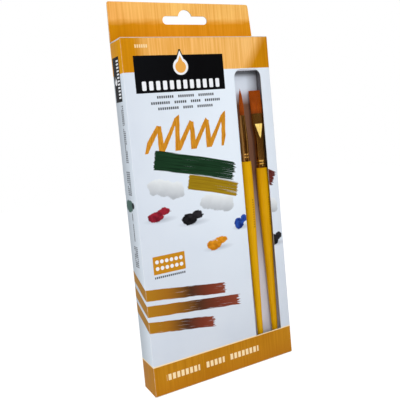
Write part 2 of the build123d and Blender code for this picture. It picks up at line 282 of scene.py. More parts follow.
class Graph:
    """A tree of shading nodes, with short ways to add to it."""

    def __init__(self, owner):
        owner.use_nodes = True
        self.tree = owner.node_tree

    def put(self, value, socket):
        """Sets a socket to a number or colour, or links an amount or another socket to it."""
        if isinstance(value, Amount):
            value = value.socket
        if isinstance(value, bpy.types.NodeSocket):
            self.tree.links.new(value, socket)
        else:
            socket.default_value = value

    def node(self, kind, *values, operation=None):
        """A new node, with its first inputs set or linked to the values."""
        node = self.tree.nodes.new("ShaderNode" + kind)
        if operation:
            node.operation = operation
        for value, socket in zip(values, node.inputs):
            self.put(value, socket)
        return node

    def math(self, operation, *values):
        return Amount(self, self.node("Math", *values, operation=operation).outputs[0])

    def clamped(self, value, factor, offset):
        """A value times a factor plus an offset, kept between 0 and 1."""
        amount = self.math("MULTIPLY_ADD", value, factor, offset)
        amount.socket.node.use_clamp = True
        return amount

    def mixed(self, amount, below, above):
        """A colour that goes from below to above as the amount goes from 0 to 1."""
        node = self.node("Mix", amount)
        node.data_type = "RGBA"
        self.put(below, node.inputs[6])
        self.put(above, node.inputs[7])
        return node.outputs[2]

    def ramp(self, amount, stops, interpolation="LINEAR"):
        """A colour that follows an amount through (position, colour) stops."""
        node = self.node("ValToRGB", amount)
        ramp = node.color_ramp
        ramp.interpolation = interpolation
        while len(ramp.elements) < len(stops):
            ramp.elements.new(1.0)
        for element, (position, colour) in zip(ramp.elements, stops):
            element.position = position
            element.color = colour
        return node.outputs[0]


class Finish(Graph):
    """A procedural material. u runs right or back, v up, and w the third way, in millimetres."""

    def __init__(self, name, roughness, side_view=False, **settings):
        self.material = bpy.data.materials.new(name)
        super().__init__(self.material)
        self.shader = self.tree.nodes["Principled BSDF"]
        self.shader.inputs["Roughness"].default_value = roughness
        for socket, value in settings.items():
            self.shader.inputs[socket.replace("_", " ")].default_value = value
        mapping = self.node("Mapping", self.node("TexCoord").outputs["Object"])
        mapping.inputs["Scale"].default_value = (1 / MM, 1 / MM, 1 / MM)
        mapping.inputs["Location"].default_value = (half_width, half_depth, 0)
        self.place = mapping.outputs["Vector"]
        split = self.node("SeparateXYZ", self.place)
        across, deep, up = (Amount(self, output) for output in split.outputs)
        self.u, self.w = (deep, across) if side_view else (across, deep)
        self.v = up
        self.colour = (1, 1, 1, 1)

    def noise(self, size, detail=2.0, at=None):
        """Patches about size millimetres across, or long that way where size has three numbers."""
        sizes = size if isinstance(size, tuple) else (size, size, size)
        scales = [1 / value for value in sizes]
        place = self.place if at is None else at
        scaled = self.node("VectorMath", place, scales, operation="MULTIPLY")
        node = self.node("TexNoise", scaled.outputs[0])
        node.inputs["Scale"].default_value = 1.0
        node.inputs["Detail"].default_value = detail
        return Amount(self, node.outputs["Fac"])

    def point(self, first, second, third=0.0):
        """A place for noise, made of three amounts."""
        return self.node("CombineXYZ", first, second, third).outputs[0]

    def inside(self, distance, soft=0.15):
        """1 where the distance outside a shape is below nothing, and 0 above it, with a soft edge."""
        return self.clamped(distance, -1 / soft, 0.5)

    def between(self, value, low, high, soft=0.15):
        return self.inside(abs(value - (low + high) / 2) - (high - low) / 2, soft)

    def base(self, pattern, first, second, high=0.75):
        """The ground colour, from the first to the second as a pattern goes from 0.3 to high."""
        self.colour = self.mixed(pattern.share(0.3, high), first, second)

    def paint(self, amount, colour):
        """Lays a colour over what is there already."""
        self.colour = self.mixed(amount, self.colour, colour)

    def bump(self, height, depth_mm):
        """Makes the surface look raised where the height is 1, by a depth in millimetres."""
        node = self.node("Bump")
        node.inputs["Distance"].default_value = depth_mm * MM
        self.put(height, node.inputs["Height"])
        self.put(node.outputs["Normal"], self.shader.inputs["Normal"])

    def vary_roughness(self, low, high, pattern):
        self.put(pattern * (high - low) + low, self.shader.inputs["Roughness"])

    def done(self):
        self.put(self.colour, self.shader.inputs["Base Color"])
        return self.material


def oblong(u, v, middle, size, corner=0.3):
    """How far a point lies outside an oblong with round corners."""
    beyond_u = (abs(u - middle[0]) - (size[0] / 2 - corner)).at_least(0.0)
    beyond_v = (abs(v - middle[1]) - (size[1] / 2 - corner)).at_least(0.0)
    return (beyond_u * beyond_u + beyond_v * beyond_v).root() - corner


def oval(u, v, middle, half_u, half_v):
    """How far, roughly, a point lies outside an oval."""
    du = (u - middle[0]) / half_u
    dv = (v - middle[1]) / half_v
    return ((du * du + dv * dv).root() - 1.0) * min(half_u, half_v)


def along_line(ink, start, end):
    """A point's distance along the line from start to end, its distance to the left, and the length."""
    length = hypot(end[0] - start[0], end[1] - start[1])
    run = (end[0] - start[0]) / length
    rise = (end[1] - start[1]) / length
    du = ink.u - start[0]
    dv = ink.v - start[1]
    return du * run + dv * rise, dv * run - du * rise, length


# Ink and card colours
paper_white = rgb(214, 221, 231)
paper_dim = rgb(206, 214, 226)
# Paper lightened by painted sheen
paper_sheen = rgb(232, 241, 251)
# Side paper in two tones, lighter near the front fold and darker toward the back: painted light and shade
side_paper_lit = rgb(226, 236, 247)
side_paper_shaded = rgb(196, 206, 216)
# The first two ochres are lightened by painted sheen where they colour the top bands and the lid; the
# second also fills the label's drop
sheen_lit_ochre = rgb(252, 196, 118)
ochre_mid = rgb(234, 168, 78)
ochre_deep = rgb(196, 134, 24)
ochre_deep_dark = rgb(180, 118, 12)
ochre_rich = rgb(210, 140, 8)
ochre_rich_dark = rgb(194, 124, 0)
cream = rgb(250, 226, 178)
label_black = rgb(7, 7, 9)
mark_white = rgb(238, 240, 244)
mark_grey = rgb(60, 63, 70)
raw_card = rgb(222, 220, 214)
raw_card_dark = rgb(196, 192, 184)

# How strongly the printed card mirrors, low so that it looks matt, and lower on the side
print_shine = 0.08
side_print_shine = 0.02

# Where the print lies, measured from the carton's left edge and from the floor
top_band_from = 238.1
bottom_band_to = 22.4
cream_line_to = 23.3
label_middle = (45.2, 236.4)
label_size = (73.6, 26.9)
tab_shade_level = 277.6
stripe_levels = (77.0, 65.0, 53.0)
stripe_half = 4.2

# Groups of small bars under the label: each row's height, and each group's left and right end
label_rows = (
    (219.6, ((23.8, 37.4), (40.8, 54.4), (57.8, 71.4))),
    (215.4, ((18.7, 34.0), (37.4, 47.6), (51.0, 59.5), (62.9, 76.5))),
    (211.2, ((23.8, 40.8), (44.2, 52.7), (56.1, 69.7))),
)

# Swatches of paint: start, end, breadth, light and dark colour, seed, bow and ragged length of the end
swatches = (
    ((18.0, 174.0), (90.0, 160.0), 14.0, rgb(30, 66, 40), rgb(8, 30, 14), 2.0, 3.0, 14.0),
    ((44.0, 155.0), (88.0, 145.0), 11.0, rgb(170, 138, 20), rgb(128, 98, 8), 8.0, 2.0, 6.0),
    ((98.0, 158.0), (124.0, 146.0), 12.0, rgb(112, 44, 36), rgb(66, 22, 20), 14.0, 0.0, 8.0),
)

# Pale washes: start, end, breadth and seed
washes = (
    ((10.0, 156.0), (38.0, 149.0), 12.0, 1.0),
    ((52.0, 139.0), (80.0, 133.0), 12.0, 4.0),
    ((100.0, 131.0), (122.0, 125.0), 11.0, 9.0),
)

# Dabs of paint: middle, half width, half height, lean, light and dark colour, and seed
dabs = (
    ((14.0, 133.0), 9.0, 3.8, 0.35, rgb(158, 36, 52), rgb(106, 16, 34), 6.0),
    ((41.0, 127.0), 9.0, 4.4, 0.3, rgb(40, 38, 42), rgb(8, 7, 10), 9.0),
    ((60.0, 104.0), 9.0, 4.0, 0.3, rgb(226, 150, 30), rgb(186, 112, 8), 3.0),
    ((84.0, 117.0), 6.0, 4.6, 0.5, rgb(44, 84, 176), rgb(16, 40, 112), 12.0),
    ((116.0, 98.0), 6.0, 4.6, 0.4, rgb(40, 38, 42), rgb(8, 7, 10), 15.0),
)

# Blocks of small bars on the side: lower and upper end, first and last line counted from the front fold
side_blocks = ((174.0, 216.0, 3, 5), (150.0, 168.0, 3, 6), (116.0, 137.0, 4, 5), (96.0, 112.0, 3, 6))


def streaky_ochre(ink, light, dark, streak=(1.4, 1.4, 60.0)):
    """Ochre ink laid on with a dry brush in streaks, upright ones where nothing else is said."""
    streaks = ink.noise(streak, 4.0)
    clouds = ink.noise((30.0, 30.0, 45.0), 1.0)
    return ink.mixed((streaks * 0.7 + clouds * 0.4).share(0.42, 0.66), light, dark)


def bands(ink, top_ochre):
    """The ochre bands at the carton's top and bottom, with a cream line above the lower one."""
    waver = (ink.noise((4.0, 4.0, 90.0)) - 0.5) * 0.5
    ink.paint(ink.inside((top_band_from - ink.v) + waver, 0.3), top_ochre)
    ink.paint(ink.inside(ink.v - cream_line_to, 0.3), cream)
    ink.paint(
        ink.inside(ink.v - bottom_band_to, 0.3), streaky_ochre(ink, ochre_deep, ochre_deep_dark)
    )


def bars(ink, left, right, level, height, pitch):
    """How far a row of plain upright bars covers a point."""
    dashes = ink.inside(abs(ink.u % pitch - pitch / 2) - pitch * 0.34, 0.2)
    row = ink.between(ink.v, level - height / 2, level + height / 2, 0.3)
    return dashes * row * ink.between(ink.u, left, right)


def marks(ink, left, right, level, word=8.0):
    """A row of small grey marks in groups, each group about a word long."""
    groups = ink.noise((word, 1.0, 1.0), 0.0, ink.point(ink.u, level)).share(0.34, 0.4)
    ink.paint(bars(ink, left, right, level, 1.5, 1.6) * groups, mark_grey)


def droplet(ink, middle, reach):
    """How far a point lies outside a plain paint drop with its point upwards."""
    point_height = 1.9
    du = abs(ink.u - middle[0])
    rise = (ink.v - middle[1]) / reach
    narrowing = rise.share(-0.2, point_height)
    round_part = oval(ink.u, ink.v, middle, reach, reach)
    taper = (du - (1.0 - narrowing) * reach * 0.94).at_least((rise * -1.0) * reach)
    return round_part.at_most(taper.at_least((rise - point_height) * reach))


def label(ink):
    """The black label with a plain drop above a row of twelve plain bars."""
    ink.paint(ink.inside(oblong(ink.u, ink.v, label_middle, label_size, 0.4)), label_black)
    drop_middle = (45.4, 241.2)
    drop_reach = 6.2
    ink.paint(ink.inside(droplet(ink, drop_middle, drop_reach) - 0.9), label_black)
    ink.paint(ink.inside(droplet(ink, drop_middle, drop_reach)), mark_white)
    ink.paint(ink.inside(droplet(ink, (45.4, 241.0), 4.4)), ochre_mid)
    bar_level = 228.1
    bar_size = (3.3, 6.6)
    bar_pitch = 5.5
    bars_left = label_middle[0] - 6 * bar_pitch
    in_pitch = (ink.u - bars_left) % bar_pitch
    bar = oblong(in_pitch, ink.v, (bar_pitch / 2, bar_level), bar_size, 0.8)
    in_row = ink.between(ink.u, bars_left, bars_left + 12 * bar_pitch)
    ink.paint(ink.inside(bar) * in_row, mark_white)


def scribble(ink):
    """A slanting zigzag of ochre paint drawn with a loaded brush."""
    leg = 6.6
    lean = 0.32
    first_turn = 10.5
    middle, half_length = 43.3, 33.0
    low, high = 179.5, 204.5
    slant = ink.u - (ink.v - low) * lean
    rise = (ink.v - low) / (high - low)
    swell = ink.noise((13.0, 1.0, 1.0), 1.0, ink.point(slant, 3.0)).share(0.3, 0.7)
    rise = rise * (swell * 0.45 + 0.9)
    place = abs((slant - first_turn) % (2 * leg) - leg)
    aside = abs(place - (1.0 - rise) * leg)
    edge = (ink.noise((0.8, 1.0, 5.0)) - 0.5) * 0.9
    thick = rise * -0.6 + 2.3
    outside = (aside - thick + edge).at_least((rise * -1.0) * 18.0).at_least((rise - 1.0) * 18.0)
    outside = outside.at_least(abs(slant - middle) - half_length)
    tone = ink.noise((1.0, 1.0, 7.0), 3.0).share(0.35, 0.7)
    ink.paint(ink.inside(outside, 0.25), ink.mixed(tone, rgb(218, 150, 42), rgb(184, 116, 18)))


def swatch_stroke(ink, start, end, broad, light, dark, seed, bow, ragged):
    """A broad dry-brush stroke, full where it starts and broken into streaks where it ends."""
    along, aside, length = along_line(ink, start, end)
    aside = aside + (along / length) * (along / length) * bow
    streaks = ink.noise(1.0, 3.0, ink.point(along / 26.0, aside / 1.1, seed))
    grain = ink.noise(1.0, 2.0, ink.point(along / 60.0, aside / 0.35, seed + 5.0))
    ends = (along * -1.0 - streaks * 4.0 + 1.0).at_least(along - length + streaks * ragged)
    sides = abs(aside) - broad / 2 + (streaks - 0.5) * 2.5
    tone = ink.mixed((streaks * 0.5 + grain * 0.6).share(0.38, 0.72), dark, light)
    gaps = (grain + along / length * -0.22).share(0.12, 0.2)
    ink.paint(ink.inside(ends.at_least(sides), 0.5) * gaps, tone)


def soft_shadow(ink, middle, half_u, half_v, strength):
    """A soft grey printed shadow."""
    outside = oval(ink.u, ink.v, middle, half_u, half_v)
    ink.paint(ink.inside(outside, 2.0 * min(half_u, half_v)) * strength, rgb(120, 126, 138))


def pale_wash(ink, start, end, broad, seed):
    """A pale grey wash, rounded at both ends."""
    along, aside, length = along_line(ink, start, end)
    edge = (ink.noise(6.0, 3.0, ink.point(along, aside, seed)) - 0.5) * 7.0
    outside = oblong(along, aside, (length / 2, 0.0), (length, broad), broad * 0.42) + edge
    light = (aside + edge * 0.6).share(-broad / 2, broad / 2)
    ink.paint(ink.inside(outside, 0.9) * 0.85, ink.mixed(light, rgb(168, 172, 178), rgb(232, 236, 238)))


def dab(ink, middle, half_u, half_v, lean, light, dark, seed):
    """A wet dab of paint in two lobes with a wavy edge and a thin shadow under it."""
    wave = (ink.noise((4.0, 4.0, 3.0)) - 0.5) * 3.4
    other = (middle[0] + half_u * 0.75, middle[1] + half_u * lean)
    lobes = oval(ink.u, ink.v, middle, half_u * 0.72, half_v).at_most(
        oval(ink.u, ink.v, other, half_u * 0.55, half_v * 0.72)
    )
    soft_shadow(ink, (middle[0] + half_u * 0.4, middle[1] - half_v * 0.7), half_u * 0.8, 1.4, 0.5)
    swirl = ink.noise(3.2, 2.0, ink.point(ink.u, ink.v, seed))
    tone = ink.mixed((swirl + (ink.v - middle[1]) * 0.03).share(0.35, 0.68), dark, light)
    ink.paint(ink.inside(lobes + wave, 0.5), tone)


def plate(ink):
    """The ochre plate with twelve white dots in two rows, and a row of small marks under it."""
    middle = (21.0, 97.5)
    pitch_u, pitch_v = 3.9, 5.0
    dot_radius = 1.45
    dots_left = middle[0] - 3 * pitch_u
    ink.paint(ink.inside(oblong(ink.u, ink.v, middle, (26.0, 13.4), 0.4)), ochre_deep)
    u = (ink.u - dots_left) % pitch_u
    v = (ink.v - middle[1] + pitch_v) % pitch_v
    dots = ink.inside(oval(u, v, (pitch_u / 2, pitch_v / 2), dot_radius, dot_radius))
    in_columns = ink.between(ink.u, dots_left, dots_left + 6 * pitch_u)
    in_rows = ink.between(ink.v, middle[1] - pitch_v, middle[1] + pitch_v)
    ink.paint(dots * in_columns * in_rows, mark_white)
    ink.paint(bars(ink, 8.5, 33.5, 88.4, 1.5, 1.6), mark_grey)


def painted_stripe(ink, level, end, seed):
    """A long thin stroke of paint from the left edge, which turns from ochre through brown to rust."""
    fall = 9.0
    share = ink.u / end
    aside = ink.v - (share * -fall + level)
    streaks = ink.noise(1.0, 3.0, ink.point(ink.u / 22.0, aside / 0.7, seed))
    wave = (ink.noise((9.0, 1.0, 1.0), 1.0, ink.point(ink.u, seed)) - 0.5) * 1.2
    sides = abs(aside + wave) - stripe_half + (streaks - 0.5) * 1.6
    outside = sides.at_least(ink.u - end + streaks * 12.0)
    tones = ink.ramp(
        share + (streaks - 0.5) * 0.16,
        (
            (0.0, rgb(176, 122, 26)),
            (0.25, rgb(160, 104, 24)),
            (0.5, rgb(74, 44, 26)),
            (0.75, rgb(120, 52, 34)),
            (1.0, rgb(142, 70, 50)),
        ),
    )
    gaps = (streaks - share * 0.12).share(0.16, 0.3)
    ink.paint(ink.inside(outside, 0.3) * gaps, tones)


def fold_wear(ink, places):
    """Whitened print along the carton's folds."""
    rub = ink.noise((1.5, 1.5, 4.0), 3.0).share(0.42, 0.75)
    for place in places:
        ink.paint(ink.inside(abs(ink.u - place) - 0.35, 0.5) * (rub * 0.5 + 0.12), rgb(236, 236, 238))


def printed_surface(ink, folds):
    """Varnished card: fine fibres, a soft gloss and worn folds."""
    fold_wear(ink, folds)
    ink.bump(ink.noise(0.6, 3.0), 0.012)
    ink.vary_roughness(0.3, 0.42, ink.noise(14.0))
    return ink.done()


def front_print():
    """The front: white paper with painted sheen left of the window, ochre bands with painted sheen on the
    top one, the label and the strokes.
    """
    ink = Finish("front_print", 0.35, Specular_IOR_Level=print_shine)
    ink.base(ink.noise(40.0), paper_white, paper_dim, 0.7)
    # Painted sheen: the paper is lightened toward the window, most at u 84 and less on the lower front
    sheen_u = 84.0
    sheen = ink.u.share(-25.0, sheen_u) * (1.0 - ink.u.share(sheen_u, 122.0) * 0.4)
    ink.paint(sheen * ink.v.share(30.0, 150.0), paper_sheen)
    # Painted sheen: the top band's ochre is lightened, except at its right corner and near the left edge,
    # where it stays rich
    rich = streaky_ochre(ink, ochre_rich, ochre_rich_dark)
    right_corner = (ink.u - 116.0) - (ink.v - 257.0) * 0.67
    sheen_free_share = right_corner.share(-5.0, 5.0).at_least((24.0 - ink.u).share(0.0, 14.0))
    bands(ink, ink.mixed(sheen_free_share, streaky_ochre(ink, sheen_lit_ochre, ochre_mid), rich))
    ink.paint((14.0 - ink.v).share(0.0, 16.0) * 0.5, rgb(178, 108, 16))
    label(ink)
    for level, groups in label_rows:
        for left, right in groups:
            ink.paint(bars(ink, left, right, level, 1.9, 1.7), mark_grey)
    ink.paint(bars(ink, 10.2, 20.4, 256.6, 2.4, 1.7) * 0.8, cream)
    scribble(ink)
    for wash in washes:
        pale_wash(ink, *wash)
    for swatch in swatches:
        swatch_stroke(ink, *swatch)
    for spot in dabs:
        dab(ink, *spot)
    plate(ink)
    for level, reach, seed in zip(stripe_levels, (72.0, 84.0, 60.0), (1.0, 4.0, 7.0)):
        painted_stripe(ink, level, reach, seed)
    for left, right in ((10.0, 38.0), (43.0, 60.0), (65.0, 92.0)):
        ink.paint(bars(ink, left, right, 12.4, 4.6, 3.6), cream)
    return printed_surface(ink, (0.0, width))


def side_print(name):
    """A side: bands as on the front, and on the left side also a block, small bars, a spot and stripes."""
    ink = Finish(name, 0.36, side_view=True, Specular_IOR_Level=side_print_shine)
    # Painted light and shade: the side paper is lighter near the front fold and darker toward the back
    ink.colour = ink.mixed(ink.u.share(2.0, 20.0), side_paper_lit, side_paper_shaded)
    bands(ink, streaky_ochre(ink, rgb(232, 162, 0), rgb(218, 148, 0)))
    left = 1.0 - ink.w.share(width * 0.4, width * 0.6)
    block_middle, block_size = (13.5, 234.8), (13.0, 32.4)
    ink.paint(ink.inside(oblong(ink.u, ink.v, block_middle, block_size, 0.4)) * left, label_black)
    bars_low, bars_high = 220.4, 249.2
    bar_pitch = 2.4
    in_pitch = (ink.v - bars_low) % bar_pitch
    bar = oblong(ink.u, in_pitch, (10.8, bar_pitch / 2), (4.6, 1.3), 0.4)
    ink.paint(ink.inside(bar) * ink.between(ink.v, bars_low, bars_high) * left, mark_white)
    ink.paint(ink.inside(droplet(ink, (16.2, 233.0), 2.2)) * left, mark_white)
    line_pitch, mark_pitch = 2.4, 1.5
    lines = ink.inside(abs(ink.u % line_pitch - line_pitch / 2) - 0.8, 0.3)
    dashes = ink.inside(abs(ink.v % mark_pitch - mark_pitch / 2) - 0.55, 0.2)
    line_number = ink.math("FLOOR", ink.u / line_pitch)
    groups = ink.noise((1.0, 1.0, 7.0), 0.0, ink.point(line_number * 3.0, 3.0, ink.v)).share(0.36, 0.42)
    for low, high, first, last in side_blocks:
        in_lines = ink.between(ink.u, first * line_pitch, last * line_pitch)
        where = ink.between(ink.v, low, high) * in_lines
        ink.paint(where * lines * dashes * groups * left, mark_grey)
    edge_wave = (ink.noise(4.0) - 0.5) * 3.0
    splash = oval(ink.u, ink.v, (14.5, 142.0), 6.5, 4.6) + edge_wave
    ink.paint(ink.inside(splash, 0.5) * left, rgb(62, 96, 88))
    core = oval(ink.u, ink.v, (7.5, 142.6), 2.4, 2.4) + edge_wave * 0.5
    ink.paint(ink.inside(core, 0.5) * left, rgb(18, 28, 32))
    for level in stripe_levels:
        rise = ink.v - level - ink.u * 0.5
        streaks = ink.noise(1.0, 3.0, ink.point(ink.u / 22.0, rise / 0.7, level))
        stripe = ink.inside(abs(rise) - stripe_half + (streaks - 0.5) * 1.6, 0.4)
        ink.paint(stripe * left, ink.mixed(streaks, rgb(150, 104, 30), rgb(196, 140, 44)))
    return printed_surface(ink, (0.0, depth))


def back_print():
    """The back: a spot of each paint in two rows, and rows of small marks."""
    ink = Finish("back_print", 0.36, Specular_IOR_Level=print_shine)
    ink.base(ink.noise(40.0), paper_white, paper_dim, 0.7)
    # The top band's ochre is lightened by painted sheen, as on the front
    bands(ink, streaky_ochre(ink, sheen_lit_ochre, ochre_mid))
    spots_left, spots_low = 20.5, 108.0
    pitch_u, pitch_v = 14.0, 22.0
    spot_radius = 4.6
    column = (ink.u - spots_left) / pitch_u
    row = (ink.v - spots_low) / pitch_v
    number = ink.math("FLOOR", column) + ink.math("FLOOR", row) * 6.0
    paints = [material for material in frame["record"]["materials"] if "paint_" in material["slot"]]
    stops = [(k / 12, tuple(paint["base_color"]) + (1.0,)) for k, paint in enumerate(paints)]
    tones = ink.ramp((number + 0.5) / 12.0, stops, "CONSTANT")
    wave = (ink.noise(3.0) - 0.5) * 1.4
    u, v = column % 1.0 * pitch_u, row % 1.0 * pitch_v
    spot = oval(u, v, (pitch_u / 2, 13.0), spot_radius, spot_radius) + wave
    grid = ink.between(column, 0.0, 6.0, 0.02) * ink.between(row, 0.0, 2.0, 0.02)
    ink.paint(ink.inside(spot, 0.4) * grid, tones)
    line_step = 4.4
    for level in (112.0, 134.0):
        marks(ink, 22.0, 103.0, level)
    for k in range(7):
        marks(ink, 20.0, 105.0 - 6.0 * (k % 3), 206.0 - line_step * k, word=7.0 + k)
    for k in range(6):
        marks(ink, 20.0, 104.0 - 7.0 * (k % 2), 84.0 - line_step * k, word=6.5 + k)
    return printed_surface(ink, (0.0, width))


def tab_print():
    """The tab: pale ochre above a wavy line and rich ochre below it, both paler to the right."""
    ink = Finish("tab_print", 0.32, Specular_IOR_Level=print_shine)
    high = ink.mixed(
        ink.u.share(0.0, 50.0),
        streaky_ochre(ink, rgb(248, 184, 100), rgb(230, 160, 72)),
        streaky_ochre(ink, rgb(255, 204, 116), rgb(238, 174, 84)),
    )
    low = ink.mixed(
        ink.u.share(12.0, 36.0),
        streaky_ochre(ink, rgb(212, 142, 6), rgb(202, 132, 0)),
        streaky_ochre(ink, rgb(228, 154, 30), rgb(216, 140, 8)),
    )
    wave = (ink.noise((14.0, 1.0, 3.0)) - 0.5) * 4.0
    slope = ink.v - ink.u * 0.01 - tab_shade_level + wave
    ink.colour = ink.mixed(slope.share(-2.0, 3.0), low, high)
    return printed_surface(ink, (0.0,))


def board_flecks(ink):
    """The short fibres of unprinted board."""
    ink.base(ink.noise((2.5, 2.5, 0.5), 3.0), raw_card, raw_card_dark)


def raw_board():
    """The unprinted side and the cut edges of the card."""
    ink = Finish("raw_board", 0.75)
    board_flecks(ink)
    ink.bump(ink.noise(0.35, 3.0), 0.02)
    return ink.done()


def tab_edge():
    """The tab's cut edge, where the two glued layers show."""
    ink = Finish("tab_edge", 0.7)
    ink.base(ink.noise((0.6, 0.3, 3.0), 3.0), rgb(232, 214, 184), rgb(206, 186, 152), 0.7)
    ink.paint(ink.inside(abs(ink.w - (depth - card)) - 0.06, 0.1), rgb(120, 96, 66))
    return ink.done()


def lid_board(name, height, upward, light, dark):
    """Card printed ochre on its outer face, which lies at a height, and raw board inside."""
    ink = Finish(name, 0.5)
    board_flecks(ink)
    below_print = (height - ink.v) * upward
    ink.paint(ink.inside(below_print, 0.05), streaky_ochre(ink, light, dark, (1.4, 60.0, 1.4)))
    ink.bump(ink.noise(0.5, 3.0), 0.012)
    return ink.done()


def coated_board():
    """White coated card with a little tooth and faint scuffs."""
    ink = Finish("coated_board", 0.5)
    ink.base(ink.noise((6.0, 6.0, 2.0), 3.0), rgb(226, 227, 228), rgb(208, 208, 206))
    ink.bump(ink.noise(0.5, 3.0), 0.015)
    return ink.done()


def tray_plastic():
    """Thin formed plastic: glossy, with painted shade deeper in the tray, and painted light and shade
    along the brush channel.
    """
    ink = Finish("tray_plastic", 0.14, Coat_Weight=0.3, Coat_Roughness=0.08, IOR=1.5)
    ink.base(ink.noise((8.0, 8.0, 50.0)), rgb(232, 234, 244), rgb(220, 222, 236), 0.7)
    # Painted shade: greyer deeper in the tray
    ink.paint(ink.w.share(1.0, 12.0) * 0.35, rgb(206, 206, 222))
    channel_left, channel_right = 89.0, 121.0
    in_channel = ink.between(ink.u, channel_left, channel_right) * ink.w.share(1.2, 4.0)
    # Painted light and shade in the brush channel: dark brown shade behind the ferrules, pale bluish light
    # near the channel's top, shade in the upper right corner and on the right wall, and a grey shadow band
    # under the window's top edge
    ferrule_shade_zone = ink.v.share(70.0, 154.0) * (1.0 - ink.v.share(210.0, 221.0))
    off_left_wall = ink.u.share(channel_left + 3.0, channel_left + 5.0)
    right_wall_shade = ink.inside(channel_right - 1.8 - ink.u, 0.4)
    corner = ink.u.share(109.0, 118.0) * ink.v.share(212.0, 222.0)
    for amount, colour in (
        (off_left_wall * ferrule_shade_zone * 0.94, rgb(120, 72, 34)),
        (ink.v.share(218.0, 223.0) * 0.9, rgb(234, 243, 255)),
        (corner * 0.5, rgb(92, 82, 88)),
        (right_wall_shade * ink.v.share(105.0, 140.0) * 0.8, rgb(90, 82, 84)),
        (ink.v.share(232.6, 235.4) * 0.8, rgb(108, 108, 112)),
    ):
        ink.paint(in_channel * amount, colour)
    ink.bump(ink.noise((9.0, 9.0, 26.0)), 0.16)
    return ink.done()


def lacquer(name, stamp_u, light, dark):
    """Yellow lacquer dipped over a turned handle: streaks, a dark tail and a row of stamped bars."""
    ink = Finish(name, 0.3, Specular_IOR_Level=0.08, Coat_Weight=0.03, Coat_Roughness=0.1)
    ink.base(ink.noise((0.5, 0.5, 22.0), 4.0), light, dark)
    ink.paint(ink.noise(16.0).share(0.5, 0.8) * 0.35, rgb(228, 172, 6))
    tail_level = 14.0
    ink.paint(ink.inside(ink.v - tail_level, 3.0) * 0.4, rgb(176, 112, 10))
    stamp_low, stamp_high = 110.0, 134.0
    stamp_pitch = 2.0
    front_half = ink.inside(ink.w - 5.0, 0.5)
    dashes = ink.inside(abs(ink.v % stamp_pitch - stamp_pitch / 2) - 0.6, 0.3)
    stamped = dashes * ink.between(ink.v, stamp_low, stamp_high) * front_half
    ink.paint(stamped * ink.inside(abs(ink.u - stamp_u) - 0.7, 0.3) * 0.6, rgb(128, 84, 12))
    ink.bump(ink.noise((2.0, 2.0, 30.0)), 0.03)
    return ink.done()


def ferrule_metal():
    """Copper-coloured plated metal, drawn lengthwise, with tarnish, a painted highlight streak and a
    painted shade streak beside it.
    """
    ink = Finish("ferrule_metal", 0.16, Metallic=1.0)
    drawn = ink.noise((0.25, 0.25, 30.0), 3.0)
    ink.base(drawn, rgb(206, 160, 84), rgb(168, 118, 50))
    ink.paint(ink.noise(7.0, 3.0).share(0.5, 0.8) * 0.4, rgb(120, 68, 28))
    # Painted highlight down the round ferrule's left side, and painted shade just right of it
    highlight_u = 96.8
    ink.paint(ink.between(ink.u, highlight_u - 0.6, highlight_u + 0.6, 0.5), rgb(255, 196, 112))
    ink.paint(ink.between(ink.u, highlight_u + 1.1, highlight_u + 2.2, 0.5) * 0.8, rgb(112, 62, 18))
    ink.vary_roughness(0.07, 0.15, drawn)
    ink.bump(drawn, 0.003)
    return ink.done()


def hair_finish(name, root_level, tip_level):
    """Golden-brown synthetic hair: each one its own tone, darker at the root, paler at the tip."""
    ink = Finish(name, 0.42, Specular_IOR_Level=0.2)
    ink.base(ink.noise((0.16, 0.16, 24.0), 1.0), rgb(186, 88, 8), rgb(142, 58, 2), 0.7)
    ink.paint(ink.v.share(tip_level - 6.0, tip_level) * 0.4, rgb(206, 96, 10))
    ink.paint((root_level + 4.0 - ink.v).share(0.0, 4.0) * 0.5, rgb(100, 42, 8))
    return ink.done()


def tube_finish(number, tint):
    """Aluminium with a lacquered band in the paint's colour, a pale label band and bare ends."""
    ink = Finish("tube_finish_" + number, 0.3)
    low, high = corners("tube_" + number)
    cap_low = corners("cap_" + number)[0]
    cap_at_right = cap_low[0] > (low[0] + high[0]) / 2
    crimp_x, flow = (low[0], 1.0) if cap_at_right else (high[0], -1.0)
    along = (ink.u - half_width - crimp_x) * flow
    band_start, label_start, label_end, band_end = 7.0, 28.0, 50.0, 67.0
    ink.base(ink.noise((0.4, 3.0, 3.0), 3.0), rgb(196, 198, 202), rgb(160, 162, 168), 0.7)
    band = ink.mixed(ink.noise(6.0) * 0.3, tint, rgb(20, 20, 22))
    ink.paint(ink.between(along, band_start, band_end, 0.2), band)
    ink.paint(ink.between(along, label_start, label_end, 0.2), rgb(226, 226, 224))
    ink.bump(ink.noise((3.0, 7.0, 7.0)), 0.12)
    return ink.done()


def paint_finish(number, tint):
    """Wet gouache, with a slight swirl."""
    ink = Finish("paint_finish_" + number, 0.35)
    darker = [channel * 0.6 for channel in tint[:3]] + [1.0]
    ink.colour = ink.mixed(ink.noise(3.0, 4.0).share(0.35, 0.7) * 0.5, tint, darker)
    ink.bump(ink.noise(2.0, 3.0), 0.1)
    return ink.done()


def cap_finish():
    """White moulded plastic with a faint grain."""
    ink = Finish("cap_finish", 0.34)
    ink.base(ink.noise(5.0, 3.0), rgb(236, 237, 236), rgb(216, 219, 220), 0.7)
    ink.bump(ink.noise(0.5), 0.01)
    return ink.done()


def wear(piece, *materials):
    """Gives a piece its materials in place of any it has."""
    piece.data.materials.clear()
    for material in materials:
        piece.data.materials.append(material)


def dress(node, material):
    """Gives a node's object a better material without touching its mesh."""
    for slot in nodes[node].material_slots:
        slot.material = material


# Carton sleeve: four folded walls in one piece, each as tall as its panel

